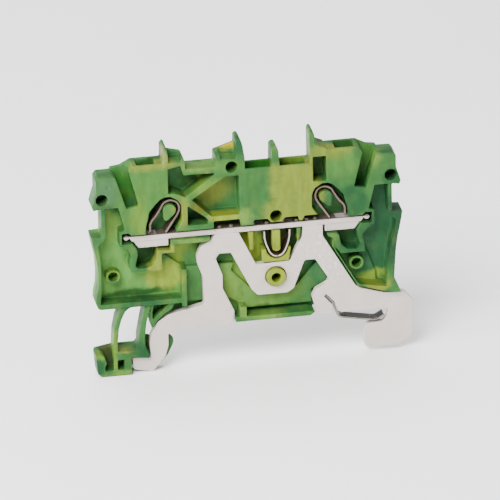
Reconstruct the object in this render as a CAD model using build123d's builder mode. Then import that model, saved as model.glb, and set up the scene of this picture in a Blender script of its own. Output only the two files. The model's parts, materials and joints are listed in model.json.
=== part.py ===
"""Two-conductor ground terminal block for a 35 mm rail, seen from its open side.

Frame: X along the block, across the rail; -Y towards the open side, +Y towards the closed back;
+Z up, away from the rail. The origin lies on the rail's top face, below the housing's middle.
All dimensions are in millimetres.
"""
import os

from build123d import *

# Depths of the flat layers, measured back from the open face
OPEN_FACE = 0.0
BLOCK_BACK = 3.5
WEB_FACE = 2.9
METAL_FACE = 0.7
PLATE_THICKNESS = 1.2
PLATE_BACK = METAL_FACE + PLATE_THICKNESS
STRIP_WIDTH = 2.1
STRIP_BACK = METAL_FACE + STRIP_WIDTH
STRIP_MIDDLE = METAL_FACE + STRIP_WIDTH / 2
SLOT_FACE = 0.45

# Heights above the rail's top face
BAR_TOP = 16.95
BAR_THICKNESS = 0.9
BAR_BOTTOM = BAR_TOP - BAR_THICKNESS
UPPER_FLOOR = 17.35
BLOCK_TOP = 28.75
BRIDGE_TOP = 27.5
CENTRE_TOP = 26.65
NECK_TOP = 22.15
SHELF = 17.55

# Round features
COUPLING_BORE_R = 0.92
COUPLING_PEG_R = 0.85
COUPLING_PEG_LENGTH = 1.1
EAR_BORE = (22.2, 23.6)
BRIDGE_BORE = (-2.2, 27.2)
CENTRE_BORE = (4.5, 18.5)
BOSS_BORE_R = 0.75
BOSS_R = 1.15
BOSS_FACE = 0.9
LEFT_BOSS = (-20.6, 10.4)
RIGHT_BOSS = (16.85, 9.15)
LOCATING_BOSS = (4.35, 8.2)
LOCATING_BOSS_R = 1.5
PLATE_HOLE_R = 1.65

# Clamp springs
SPRING_STRIP = 0.3
LOOP_CENTRE = (11.85, 20.95)
LOOP_R = 1.4
LOOP_SHIFT = 0.2

# Wire slots
SLOT_OUTER = [(18.45, 21.85), (20.05, 27.15)]
SLOT_INNER = [(16.55, 22.2), (17.95, 27.75)]

os.makedirs("parts", exist_ok=True)


def layer(y):
    """Drawing plane parallel to the open face, y behind it; X stays X and its second axis is Z."""
    return Plane.XZ.offset(-y)


def flip(points):
    """The same outline on the other side of the housing's middle."""
    return [(-x, z) for x, z in points]


def shifted(points):
    """The same outline moved by the clamp springs' offset from the housing's middle."""
    return [(x + LOOP_SHIFT, z) for x, z in points]


def polygon(points, mode=Mode.ADD):
    """Straight-sided face in the current sketch."""
    with BuildLine() as outline:
        Polyline(*points, close=True)
    make_face(outline.edges(), mode=mode)


def rounded(points, radius, mode=Mode.ADD):
    """Face with rounded corners in the current sketch."""
    with BuildLine() as outline:
        FilletPolyline(*points, radius=radius, close=True)
    make_face(outline.edges(), mode=mode)


def disc(centre, radius, mode=Mode.ADD):
    """Round face in the current sketch."""
    with Locations(centre):
        Circle(radius, mode=mode)


def cut(y_front, y_back, points):
    """Remove a prism between two depths from the current part."""
    with BuildSketch(layer(y_back)) as profile:
        polygon(points)
    extrude(profile.sketch, amount=y_back - y_front, mode=Mode.SUBTRACT)


def bore(centre, radius, y_front, y_back):
    """Remove a round hole between two depths from the current part."""
    with BuildSketch(layer(y_back)) as profile:
        disc(centre, radius)
    extrude(profile.sketch, amount=y_back - y_front, mode=Mode.SUBTRACT)


def save(piece, name):
    piece.part.label = name
    export_step(piece.part, f"parts/{name}.step")


# Outlines shared by neighbours, drawn for the right-hand side of the housing
EAR_RIM = [(20.5, 27.35), (22.6, 27.3), (23.05, 26.75), (23.05, 24.85), (23.35, 23.85), (23.75, 22.5),
           (23.5, 21.95), (22.35, NECK_TOP)]
NECK = [(22.35, SHELF), (23.93, 17.5), (23.7, 16.1), (23.15, 13.45)]
CAVITY = [(10.6, 22.55), (11.6, 23.15), (12.5, 23.2), (13.2, 22.9), (14.3, 21.8), (15.0, 20.9),
          (15.1, 20.1), (15.45, 18.9), (15.6, 17.9), (15.5, UPPER_FLOOR)]

# ---------------------------------------------------------------- housing: closed back
with BuildPart() as back_wall:
    with BuildSketch(layer(BLOCK_BACK)):
        right_edge = EAR_RIM + NECK + [(22.85, 11.65), (22.55, 7.75), (22.45, 6.35), (23.35, 4.45),
                                       (23.4, 3.95)]
        left_edge = flip(EAR_RIM + NECK) + [(-23.0, 11.0), (-23.1, 9.0), (-23.4, 7.7), (-23.5, 6.6),
                                            (-23.2, 5.75), (-22.8, 5.5)]
        slot_mouth = [(17.3, BLOCK_TOP), (17.6, 28.6), (18.9, 27.9), (20.4, 27.7)]
        steps = [(-9.3, BLOCK_TOP), (-9.3, BRIDGE_TOP), (-4.6, BRIDGE_TOP), (-4.6, 28.5), (-0.15, 28.5),
                 (-0.15, CENTRE_TOP), (9.85, CENTRE_TOP), (9.85, BLOCK_TOP)]
        underside = [(21.0, 3.6), (17.0, 2.6), (10.4, 1.9), (9.4, 1.45), (-2.25, 1.45), (-7.0, 1.9),
                     (-10.25, 2.3), (-12.6, 2.4), (-13.6, 3.4), (-14.3, 5.5)]
        left_rim = list(reversed(left_edge)) + list(reversed(flip(slot_mouth)))
        polygon(left_rim + steps + slot_mouth + right_edge + underside)
    extrude(amount=BLOCK_BACK - WEB_FACE)
save(back_wall, "back_wall")

with BuildPart() as coupling_pegs:
    with BuildSketch(layer(BLOCK_BACK + COUPLING_PEG_LENGTH)):
        for peg in (EAR_BORE, (-EAR_BORE[0], EAR_BORE[1]), CENTRE_BORE):
            disc(peg, COUPLING_PEG_R)
    extrude(amount=COUPLING_PEG_LENGTH)
    chamfer(coupling_pegs.faces().sort_by(Axis.Y)[-3:].edges(), 0.2)
save(coupling_pegs, "coupling_pegs")

# ---------------------------------------------------------------- housing: ears and wire guides
for side, hand in (("right", list), ("left", flip)):
    with BuildPart() as ear:
        with BuildSketch(layer(WEB_FACE)):
            polygon(hand(SLOT_OUTER + EAR_RIM + [(19.7, NECK_TOP)]))
        extrude(amount=WEB_FACE)
        bore(hand([EAR_BORE])[0], COUPLING_BORE_R, OPEN_FACE, WEB_FACE)
    save(ear, f"{side}_ear")

    # The block between the wire slot and the clamp spring; the wire runs down inside it to the clamp
    with BuildPart() as wire_guide:
        with BuildSketch(layer(WEB_FACE)):
            if side == "left":
                inner_rim = [(12.0, BLOCK_TOP), (12.0, 23.65), (11.0, 23.7), (10.1, 23.3), (9.4, 22.9),
                             (9.95, 21.5)]
            else:
                inner_rim = [(12.35, BLOCK_TOP), (12.35, 23.6), (10.3, 23.6), (10.3, 22.1)]
            outer_rim = [(17.8, UPPER_FLOOR), (18.75, 18.35), (19.7, NECK_TOP), SLOT_OUTER[0]]
            polygon(hand(inner_rim + CAVITY + outer_rim + SLOT_INNER + [(17.3, BLOCK_TOP)]))
        extrude(amount=WEB_FACE)
        cut(METAL_FACE, WEB_FACE, hand([SLOT_OUTER[0], SLOT_INNER[0], (15.85, 18.6),
                                        (15.85, UPPER_FLOOR), (17.6, UPPER_FLOOR)]))
        cut(SLOT_FACE, WEB_FACE, hand([(13.8, BLOCK_TOP), (16.7, BLOCK_TOP), (16.7, 27.2), (13.8, 27.2)]))
    save(wire_guide, f"{side}_wire_guide")

    with BuildPart() as spring_core:
        with BuildSketch(layer(WEB_FACE)):
            with BuildLine():
                CenterArc(shifted(hand([(12.0, 20.85)]))[0], 0.98, 0, 360)
                CenterArc(shifted(hand([(12.5, 19.6)]))[0], 0.42, 0, 360)
            make_hull()
        extrude(amount=WEB_FACE - 0.3)
    save(spring_core, f"{side}_spring_core")

    # The neck below the ear holds the bar's rolled end in a small box
    with BuildPart() as end_box:
        with BuildSketch(layer(WEB_FACE)):
            polygon(hand([(18.75, 18.35), (19.6, 18.1), (19.6, 15.65), (19.2, 15.65), (19.2, 17.75),
                          (18.45, 17.75), (18.275, 17.85)]))
        extrude(amount=WEB_FACE)
    save(end_box, f"{side}_end_box")

    with BuildPart() as shelf_wall:
        with BuildSketch(layer(WEB_FACE)):
            polygon(hand([(21.75, NECK_TOP), (22.35, NECK_TOP)] + NECK + [(22.55, 13.45), (22.9, 16.0),
                                                                          (21.75, 17.3)]))
        extrude(amount=WEB_FACE)
    save(shelf_wall, f"{side}_shelf_wall")

# ---------------------------------------------------------------- housing: side and floor walls
with BuildPart() as left_floor_wall:
    with BuildSketch(layer(WEB_FACE)):
        polygon([(-22.55, 13.45), (-23.15, 13.45), (-23.0, 11.0), (-23.1, 9.0), (-23.4, 7.7),
                 (-23.5, 6.6), (-23.2, 5.75), (-22.8, 5.5), (-10.25, 5.5), (-10.25, 4.9), (-9.45, 4.7),
                 (-9.45, 11.0), (-10.2, 11.0), (-10.2, 6.35), (-22.75, 6.35), (-22.5, 9.0)])
    extrude(amount=WEB_FACE)
save(left_floor_wall, "left_floor_wall")

with BuildPart() as right_floor_wall:
    with BuildSketch(layer(WEB_FACE)):
        polygon([(23.15, 13.45), (22.85, 11.65), (22.55, 7.75), (22.45, 6.35), (23.35, 4.45),
                 (23.4, 3.95), (21.0, 4.2), (17.2, 5.35), (16.5, 6.2), (12.95, 12.3), (13.2, 13.7),
                 (13.4, 12.3), (16.75, 6.35), (17.2, 5.95), (21.4, 5.15), (21.55, 9.0), (22.3, 13.0),
                 (22.55, 13.45)])
    extrude(amount=WEB_FACE)
    # The ground foot lies in front of the wall's lower edge
    cut(OPEN_FACE, PLATE_BACK + 0.1, [(10.0, 14.6), (11.9, 14.6), (16.8, 5.75), (21.0, 4.35),
                                      (24.0, 3.98), (24.0, 2.0), (10.0, 2.0)])
save(right_floor_wall, "right_floor_wall")

with BuildPart() as left_floor:
    with BuildSketch(layer(WEB_FACE)):
        polygon([(-22.75, 6.35), (-10.2, 6.35), (-10.2, 11.0), (-13.2, 13.4), (-13.2, 11.2),
                 (-17.9, 11.2), (-18.2, 12.4), (-17.9, 14.0), (-18.2, 14.5), (-22.69, 14.5),
                 (-22.55, 13.45), (-22.5, 9.0)])
        disc(LEFT_BOSS, BOSS_R, mode=Mode.SUBTRACT)
    extrude(amount=0.5)
save(left_floor, "left_floor")

# The same raised floor runs on up the left side, as far as the ear
with BuildPart() as left_column:
    with BuildSketch(layer(WEB_FACE)):
        polygon([(-22.69, 14.5), (-18.2, 14.5), (-18.5, 15.2), (-19.2, 15.2), (-19.2, 15.65),
                 (-19.6, 15.65), (-19.6, 18.1), (-18.75, 18.35), (-19.7, NECK_TOP), (-21.75, NECK_TOP),
                 (-21.75, 17.3), (-22.9, 16.0)])
    extrude(amount=0.5)
save(left_column, "left_column")

with BuildPart() as right_floor:
    with BuildSketch(layer(WEB_FACE)):
        polygon([(13.4, 12.3), (16.75, 6.35), (17.2, 5.95), (20.0, 5.42), (20.0, 6.9), (18.3, 11.6),
                 (18.05, 11.25), (14.35, 11.25), (13.55, 12.3)])
        disc(RIGHT_BOSS, BOSS_R, mode=Mode.SUBTRACT)
    extrude(amount=0.5)
save(right_floor, "right_floor")

# ---------------------------------------------------------------- housing: wire stops below the bar
with BuildPart() as left_wire_stop:
    with BuildSketch(layer(WEB_FACE)):
        polygon([(-19.2, 15.95), (-17.6, 15.95), (-16.95, 14.85), (-16.85, 14.0), (-17.25, 12.2),
                 (-16.9, 11.75), (-15.4, 11.75), (-14.6, 12.1), (-14.0, 13.0), (-13.8, 14.55),
                 (-11.75, 14.35), (-11.75, 15.95), (-5.7, 15.95), (-5.7, 15.2), (-11.2, 15.2),
                 (-11.2, 13.9), (-13.2, 13.9), (-13.2, 11.2), (-17.9, 11.2), (-18.2, 12.4),
                 (-17.9, 14.0), (-18.5, 15.2), (-19.2, 15.2)])
    extrude(amount=WEB_FACE - 0.15)
save(left_wire_stop, "left_wire_stop")

with BuildPart() as right_wire_stop:
    with BuildSketch(layer(WEB_FACE)):
        polygon([(19.2, 15.95), (17.5, 15.95), (16.85, 14.85), (17.0, 13.6), (17.4, 12.4), (16.9, 11.8),
                 (15.3, 11.95), (14.45, 12.7), (14.1, 14.4), (13.7, 14.75), (12.3, 14.75), (12.4, 14.3),
                 (13.3, 13.8), (13.55, 12.3), (14.35, 11.25), (18.05, 11.25), (18.05, 12.4),
                 (17.7, 14.0), (18.6, 15.2), (19.2, 15.2)])
    extrude(amount=WEB_FACE - 0.15)
save(right_wire_stop, "right_wire_stop")

for name, centre in (("left_boss", LEFT_BOSS), ("right_boss", RIGHT_BOSS)):
    with BuildPart() as boss:
        with BuildSketch(layer(WEB_FACE)):
            disc(centre, BOSS_R)
            disc(centre, BOSS_BORE_R, mode=Mode.SUBTRACT)
        extrude(amount=WEB_FACE - BOSS_FACE)
    save(boss, name)

with BuildPart() as locating_boss:
    with BuildSketch(layer(WEB_FACE)):
        disc(LOCATING_BOSS, LOCATING_BOSS_R)
        disc(LOCATING_BOSS, BOSS_BORE_R, mode=Mode.SUBTRACT)
    extrude(amount=WEB_FACE - 0.15)
save(locating_boss, "locating_boss")

# ---------------------------------------------------------------- housing: centre block and its ribs
SLOT_FLOOR = 20.2
FLOOR_RIGHT = 10.02
with BuildPart() as centre_block:
    with BuildSketch(layer(WEB_FACE)):
        polygon([(-1.1, SLOT_FLOOR), (FLOOR_RIGHT, SLOT_FLOOR), (10.0, 19.4), (10.6, 18.4), (11.0, 18.1),
                 (8.85, 18.1), (8.55, 17.4), (8.0, 17.4), (7.9, 18.1), (5.85, 18.1), (5.4, 17.5),
                 (3.6, 17.5), (3.2, 18.1), (1.05, 18.1), (1.0, 17.35), (-0.95, 17.35), (-1.1, 18.55)])
    extrude(amount=WEB_FACE)
    bore(CENTRE_BORE, COUPLING_BORE_R, OPEN_FACE, WEB_FACE)
    # The jumper's contacts pass through the slot floor here
    for slot_from, slot_to in ((1.1, 3.2), (5.9, 7.9)):
        cut(SLOT_FACE, WEB_FACE, [(slot_from, 18.1), (slot_to, 18.1), (slot_to, SLOT_FLOOR),
                                   (slot_from, SLOT_FLOOR)])
save(centre_block, "centre_block")

# The two jumper slots stand between three walls, behind a thin cover on the open side
with BuildPart() as slot_cover:
    with BuildSketch(layer(SLOT_FACE)):
        polygon([(-1.1, SLOT_FLOOR), (-1.1, CENTRE_TOP), (9.85, CENTRE_TOP), (9.85, BLOCK_TOP),
                 (10.3, BLOCK_TOP), (10.3, 22.1), (10.05, 21.4), (FLOOR_RIGHT, SLOT_FLOOR)])
    extrude(amount=SLOT_FACE)
save(slot_cover, "slot_cover")

with BuildPart() as slot_walls:
    with BuildSketch(layer(WEB_FACE)):
        polygon([(-1.1, SLOT_FLOOR), (-1.1, CENTRE_TOP), (0.0, CENTRE_TOP), (0.0, SLOT_FLOOR)])
        polygon([(3.9, SLOT_FLOOR), (3.9, CENTRE_TOP), (5.3, CENTRE_TOP), (5.3, SLOT_FLOOR)])
        polygon([(9.3, SLOT_FLOOR), (9.3, CENTRE_TOP), (9.85, CENTRE_TOP), (9.85, BLOCK_TOP),
                 (10.3, BLOCK_TOP), (10.3, 22.1), (10.05, 21.4), (FLOOR_RIGHT, SLOT_FLOOR)])
    extrude(amount=WEB_FACE - SLOT_FACE)
save(slot_walls, "slot_walls")

with BuildPart() as top_bridge:
    with BuildSketch(layer(WEB_FACE)):
        polygon([(-12.0, BLOCK_TOP), (-12.0, 27.75), (-10.05, 28.15), (-9.6, 26.55), (-4.6, 26.45),
                 (-3.2, 25.75), (-1.1, 25.75), (-1.1, CENTRE_TOP), (-0.15, CENTRE_TOP), (-0.15, 28.5),
                 (-4.6, 28.5), (-4.6, BRIDGE_TOP), (-9.3, BRIDGE_TOP), (-9.3, BLOCK_TOP)])
    extrude(amount=WEB_FACE)
    bore(BRIDGE_BORE, COUPLING_BORE_R, OPEN_FACE, WEB_FACE)
save(top_bridge, "top_bridge")

with BuildPart() as brace_ribs:
    with BuildSketch(layer(WEB_FACE)):
        polygon([(-4.6, 26.45), (-9.4, 22.9), (-9.95, 21.5), (-9.95, 19.0), (-10.9, UPPER_FLOOR),
                 (-5.95, UPPER_FLOOR), (-5.1, UPPER_FLOOR), (-5.1, 18.5), (-1.1, 18.5), (-1.1, 19.35),
                 (-5.4, 19.35), (-8.4, 22.35), (-3.2, 25.75)])
        polygon([(-9.05, 21.4), (-9.05, 18.2), (-5.95, 18.2), (-5.95, 18.95)], mode=Mode.SUBTRACT)
    extrude(amount=WEB_FACE)
save(brace_ribs, "brace_ribs")

# ---------------------------------------------------------------- housing: marker carriers
with BuildPart() as left_marker_carrier:
    with BuildSketch(layer(BLOCK_BACK)):
        polygon([(-12.75, BLOCK_TOP), (-12.75, 30.9), (-12.4, 31.4), (-12.1, 31.2), (-11.9, 30.0),
                 (-9.6, 29.4), (-9.3, BLOCK_TOP)])
    extrude(amount=BLOCK_BACK)
    cut(OPEN_FACE, WEB_FACE, [(-11.9, BLOCK_TOP), (-11.9, 30.2), (-9.9, 29.6), (-9.9, BLOCK_TOP)])
save(left_marker_carrier, "left_marker_carrier")

with BuildPart() as centre_marker_carrier:
    with BuildSketch(layer(BLOCK_BACK)):
        polygon([(-4.6, 28.5), (-4.6, 29.1), (-1.5, 30.1), (-1.45, 31.35), (-1.2, 31.65), (-0.85, 31.6),
                 (-0.6, 31.2), (-0.4, 30.3), (-0.15, 28.5)])
    extrude(amount=BLOCK_BACK)
    cut(OPEN_FACE, WEB_FACE, [(-3.9, 28.7), (-3.9, 29.5), (-1.5, 30.4), (-1.5, 28.5)])
save(centre_marker_carrier, "centre_marker_carrier")

with BuildPart() as short_marker_rib:
    with BuildSketch(layer(BLOCK_BACK)):
        polygon([(3.95, CENTRE_TOP), (4.0, 29.3), (4.25, 29.65), (4.75, 29.7), (5.05, 29.2),
                 (5.2, CENTRE_TOP)])
    extrude(amount=BLOCK_BACK)
save(short_marker_rib, "short_marker_rib")

with BuildPart() as right_marker_carrier:
    with BuildSketch(layer(BLOCK_BACK)):
        polygon([(9.85, BLOCK_TOP), (9.85, 31.4), (10.05, 31.75), (10.4, 31.7), (10.6, 31.3),
                 (10.7, 29.9), (11.3, 29.4), (12.35, 28.95), (12.35, BLOCK_TOP)])
    extrude(amount=BLOCK_BACK)
save(right_marker_carrier, "right_marker_carrier")

with BuildPart() as slot_lintel:
    with BuildSketch(layer(WEB_FACE)):
        polygon([(10.3, 27.65), (12.35, 27.65), (12.35, BLOCK_TOP), (10.3, BLOCK_TOP)])
    extrude(amount=WEB_FACE)
save(slot_lintel, "slot_lintel")

# ---------------------------------------------------------------- housing: below the bar, in the middle
with BuildPart() as spring_finger:
    with BuildSketch(layer(WEB_FACE)):
        rounded([(3.9, 16.0), (3.9, 12.75), (4.5, 12.45), (5.1, 12.75), (5.1, 16.0)],
                [0, 0.2, 0.3, 0.2, 0])
    extrude(amount=WEB_FACE - 0.3)
save(spring_finger, "spring_finger")

with BuildPart() as spring_cradle:
    with BuildSketch(layer(WEB_FACE)):
        with BuildLine():
            Polyline((2.9, 12.9), (2.3, 12.9), (2.3, 10.75), (6.4, 10.75), (6.75, 12.9), (6.4, 12.9))
            ThreePointArc((6.4, 12.9), (4.65, 11.2), (2.9, 12.9))
        make_face()
    extrude(amount=WEB_FACE - 0.5)
save(spring_cradle, "spring_cradle")

with BuildPart() as jumper_stops:
    with BuildSketch(layer(WEB_FACE)):
        polygon([(0.25, 15.95), (1.0, 15.95), (1.0, 13.0), (0.45, 13.0)])
        polygon([(7.75, 15.95), (8.35, 15.95), (8.2, 14.6), (7.75, 13.8)])
    extrude(amount=WEB_FACE - 0.5)
save(jumper_stops, "jumper_stops")

with BuildPart() as rail_rib:
    with BuildSketch(layer(WEB_FACE)):
        polygon([(-2.1, 1.45), (9.4, 1.45), (10.2, 2.0), (9.3, 2.25), (-0.35, 2.25), (-0.35, 3.9),
                 (-1.35, 3.9), (-1.35, 2.25), (-2.1, 2.25)])
    extrude(amount=WEB_FACE)
save(rail_rib, "rail_rib")

# The low step behind the ground foot, cut away behind the foot's two windows
with BuildPart() as foot_rest:
    with BuildSketch(layer(WEB_FACE)):
        polygon([(-9.45, 4.75), (-9.45, 10.55), (-1.9, 10.55), (-2.3, 9.25), (0.9, 5.75), (7.6, 5.75),
                 (10.7, 9.3), (12.4, 9.3), (12.4, 6.2), (10.0, 5.0), (10.0, 2.85), (-0.35, 2.85),
                 (-0.35, 3.9), (-1.35, 3.9), (-2.7, 4.75)])
        disc(LOCATING_BOSS, LOCATING_BOSS_R, mode=Mode.SUBTRACT)
    extrude(amount=0.85)
save(foot_rest, "foot_rest")

with BuildPart() as buffer_loop:
    with BuildSketch(layer(WEB_FACE)):
        polygon([(-14.95, 5.5), (-15.15, 4.4), (-15.2, 2.8), (-15.0, 1.65), (-14.7, 1.6), (-14.2, 2.6),
                 (-12.9, 3.75), (-11.75, 4.5), (-11.3, 5.5)])
    extrude(amount=WEB_FACE - 0.4)
    cut(0.4, 2.3, [(-12.3, 5.5), (-13.0, 4.6), (-14.3, 3.45), (-14.75, 2.9), (-14.8, 4.2), (-14.5, 5.5)])
save(buffer_loop, "buffer_loop")

# ---------------------------------------------------------------- release foot on its two flexible arms
with BuildPart() as release_foot:
    with BuildSketch(layer(WEB_FACE)):
        polygon([(-23.75, -2.05), (-21.0, -1.6), (-20.25, -1.75), (-17.95, -1.75), (-17.35, -1.5),
                 (-17.1, -0.9), (-16.05, -0.9), (-15.95, -1.4), (-15.4, -2.6), (-15.5, -3.15),
                 (-18.2, -2.85), (-18.2, -5.6), (-22.9, -5.6), (-23.45, -5.1)])
    extrude(amount=WEB_FACE)
    # Screwdriver pocket, open at the top, and the small slot beside it
    cut(OPEN_FACE, 2.5, [(-23.1, -1.0), (-20.95, -1.0), (-20.95, -4.75), (-22.3, -4.75), (-22.3, -4.1),
                         (-22.05, -3.4), (-22.35, -2.4), (-23.1, -1.75)])
    cut(OPEN_FACE, 2.3, [(-20.35, -3.1), (-19.35, -3.1), (-19.35, -4.65), (-20.35, -4.65)])
save(release_foot, "release_foot")

with BuildPart() as foot_web:
    with BuildSketch(layer(BLOCK_BACK - 0.2)):
        polygon([(-23.3, -5.2), (-15.2, -5.2), (-13.4, -3.8), (-12.2, -1.6), (-11.6, -0.9),
                 (-14.6, -0.9), (-15.2, -0.5), (-16.6, -0.5), (-17.4, -1.5), (-21.0, -1.5), (-23.6, -1.95)])
    extrude(amount=BLOCK_BACK - 0.2 - WEB_FACE)
save(foot_web, "foot_web")

with BuildPart() as rail_finger:
    with BuildSketch(layer(WEB_FACE)):
        rounded([(-12.35, -0.95), (-11.4, -0.95), (-11.45, -1.9), (-12.3, -3.7), (-13.4, -4.9),
                 (-13.9, -4.5)], [0.2, 0.35, 0.5, 0.5, 0.2, 0.1])
    extrude(amount=WEB_FACE - PLATE_BACK - 0.05)
save(rail_finger, "rail_finger")

with BuildPart() as outer_latch_arm:
    with BuildSketch(layer(WEB_FACE)):
        polygon([(-19.65, 5.5), (-20.35, 3.7), (-20.8, 1.6), (-20.95, -0.8), (-21.0, -1.6),
                 (-20.25, -1.75), (-20.25, 0.0), (-20.05, 2.0), (-19.6, 3.6), (-19.0, 4.8),
                 (-18.5, 5.25), (-17.9, 5.5)])
    extrude(amount=WEB_FACE - 0.1)
save(outer_latch_arm, "outer_latch_arm")

with BuildPart() as inner_latch_arm:
    with BuildSketch(layer(WEB_FACE)):
        polygon([(-16.0, 5.5), (-16.6, 2.7), (-17.05, 0.3), (-17.1, -0.9), (-16.05, -0.9),
                 (-16.05, 0.4), (-15.8, 2.6), (-15.2, 4.9), (-15.0, 5.5)])
    extrude(amount=WEB_FACE - 0.1)
save(inner_latch_arm, "inner_latch_arm")

# ---------------------------------------------------------------- ground foot: one plate in four stretches
LEG_CUT = 9.2
TOE_CUT = -12.4
# The hook joins the plate on a line that goes down from the slanted leg to the rail spring's slot
HOOK_CUT = 14.2
HOOK_CUT_TOP = 9.761
HOOK_CUT_LOW = 1.25
with BuildPart() as ground_foot:
    with BuildSketch(layer(PLATE_BACK)):
        rounded([(-4.8, BAR_BOTTOM), (-5.3, 15.3), (-7.1, 14.2), (-7.75, 12.6), (-7.65, 11.3),
                 (-6.9, LEG_CUT), (-3.85, LEG_CUT), (-4.85, 12.0), (-4.3, 12.8), (-2.5, 12.75),
                 (0.55, 6.4), (1.5, 5.35), (6.1, 5.35), (7.1, 6.0), (8.8, 10.45), (10.45, 10.45),
                 (12.5, 7.0), (12.2, 6.3), (10.4, 5.3), (9.85, 4.2), (10.7, 1.05), (12.95, 1.3),
                 (13.05, 2.5), (11.7, 4.1), (12.05, 4.45), (13.35, 2.95), (HOOK_CUT, HOOK_CUT_LOW),
                 (HOOK_CUT, HOOK_CUT_TOP), (11.7, 14.2), (11.7, BAR_BOTTOM), (8.6, BAR_BOTTOM),
                 (8.5, 14.4), (6.55, 10.6), (2.2, 10.45), (1.35, 10.45), (-1.25, BAR_BOTTOM)],
                [0, 0.3, 1.2, 0.8, 0.8, 0, 0, 0.5, 0.4, 0.2, 0.3, 0.5, 0.5, 0.5, 0.4, 0.4, 0.3, 0.3, 0.5,
                 0.5, 0.6, 0.3, 0.3, 0.05, 0.05, 0.3, 0, 0, 0.5, 0, 0, 0.3, 0.2, 0.05, 0.3, 0])
        disc(LOCATING_BOSS, PLATE_HOLE_R, mode=Mode.SUBTRACT)
    extrude(amount=PLATE_THICKNESS)
save(ground_foot, "ground_foot_plate")

with BuildPart() as rail_hook:
    with BuildSketch(layer(PLATE_BACK)):
        rounded([(HOOK_CUT, HOOK_CUT_LOW), (21.5, 1.25), (21.5, 0.1), (20.75, -0.95), (18.4, -1.05),
                 (17.6, -2.2), (17.85, -4.95), (23.2, -5.0), (25.2, -3.4), (25.4, 2.2), (24.1, 3.75),
                 (21.0, 3.9), (17.3, 5.0), (16.6, 5.5), (HOOK_CUT, HOOK_CUT_TOP)],
                [0, 0.4, 0.4, 0.3, 0.5, 0.7, 0.8, 1.2, 1.0, 0.8, 0.8, 0.5, 0.3, 0.3, 0])
    extrude(amount=PLATE_THICKNESS)
save(rail_hook, "rail_hook")

with BuildPart() as foot_spring_leg:
    with BuildSketch(layer(PLATE_BACK)):
        rounded([(-6.9, LEG_CUT), (-6.8, 4.6), (-9.5, 4.0), (TOE_CUT, 3.4), (TOE_CUT, 0.4), (-2.8, 0.9),
                 (-2.15, 1.4), (-2.15, 3.1), (-3.85, 6.9), (-3.85, LEG_CUT)], [0, 0.4, 0.5, 0, 0, 0.4,
                                                                               0.3, 0.5, 0.8, 0])
    extrude(amount=PLATE_THICKNESS)
save(foot_spring_leg, "foot_spring_leg")

with BuildPart() as rail_toe:
    with BuildSketch(layer(PLATE_BACK)):
        rounded([(TOE_CUT, 3.4), (-14.0, 2.4), (-15.1, 0.3), (-15.3, -1.2), (-15.1, -3.4),
                 (-18.0, -3.2), (-17.9, -5.1), (-14.9, -5.75), (-12.9, -3.4), (-12.4, -1.6),
                 (TOE_CUT, 0.4)], [0, 0.8, 1.0, 0.8, 0.25, 0.15, 0.5, 0.4, 0.8, 0.5, 0])
    extrude(amount=PLATE_THICKNESS)
save(rail_toe, "rail_toe")

# ---------------------------------------------------------------- current bar and its wire collars
# The clamp legs dip into the bar's windows as a wire pushes them back
WINDOW_CENTRE = 15.4
WINDOW_LENGTH = 3.4
with BuildPart() as current_bar:
    with BuildSketch(layer(STRIP_BACK)):
        polygon([(-18.3, BAR_TOP), (18.3, BAR_TOP), (17.6, BAR_BOTTOM), (-17.6, BAR_BOTTOM)])
        disc((-18.5, 16.75), 0.42)
        disc((18.5, 16.75), 0.42)
    extrude(amount=STRIP_WIDTH)
    for side in (-1, 1):
        with BuildSketch(Plane.XY.offset(BAR_TOP)):
            with Locations((side * WINDOW_CENTRE, STRIP_MIDDLE)):
                Rectangle(WINDOW_LENGTH, STRIP_WIDTH - 0.2)
        extrude(amount=-BAR_THICKNESS, mode=Mode.SUBTRACT)
    with BuildSketch(Plane.XY.offset(BAR_TOP)):
        with Locations((2.1, STRIP_MIDDLE), (6.7, STRIP_MIDDLE)):
            Rectangle(1.3, 1.1)
    extrude(amount=-BAR_THICKNESS, mode=Mode.SUBTRACT)
save(current_bar, "current_bar")

for side, hand in (("left", flip), ("right", list)):
    collar_outer = [(12.05, BAR_BOTTOM), (17.4, BAR_BOTTOM), (16.6, 14.95), (12.05, 14.95)]
    collar_inner = [(12.4, BAR_BOTTOM), (16.95, BAR_BOTTOM), (16.4, 14.9), (12.4, 14.9)]
    with BuildPart() as wire_collar:
        with BuildSketch(layer(STRIP_BACK)):
            rounded(hand(collar_outer), [0, 0, 0.3, 0.1])
        extrude(amount=STRIP_WIDTH)
        cut(METAL_FACE + 0.3, STRIP_BACK - 0.3, hand(collar_inner))
    save(wire_collar, f"{side}_wire_collar")

# ---------------------------------------------------------------- springs
for side, hand in (("left", flip), ("right", list)):
    start, tangent = shifted(hand([(12.65, BAR_TOP + 0.1), (10.65, 20.15)]))
    top, outer, end = shifted(hand([(LOOP_CENTRE[0], LOOP_CENTRE[1] + LOOP_R), (10.45, 20.95),
                                    (13.2, 21.35)]))
    with BuildPart() as clamp_spring:
        with BuildSketch(layer(STRIP_BACK)):
            with BuildLine():
                Line(start, tangent)
                ThreePointArc(tangent, outer, top)
                ThreePointArc(top, shifted(hand([(12.85, 21.93)]))[0], end)
            trace(line_width=SPRING_STRIP)
        extrude(amount=STRIP_WIDTH)
    save(clamp_spring, f"{side}_clamp_spring")

    with BuildPart() as clamp_leg:
        with BuildSketch(layer(STRIP_BACK - 0.1)):
            with BuildLine():
                FilletPolyline(*shifted(hand([(13.28, 21.25), (14.05, 19.95), (14.9, 18.95),
                                              (15.05, BAR_TOP + 0.35)])), radius=0.4)
            trace(line_width=SPRING_STRIP)
        extrude(amount=STRIP_WIDTH - 0.2)
    save(clamp_leg, f"{side}_clamp_leg")

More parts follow.
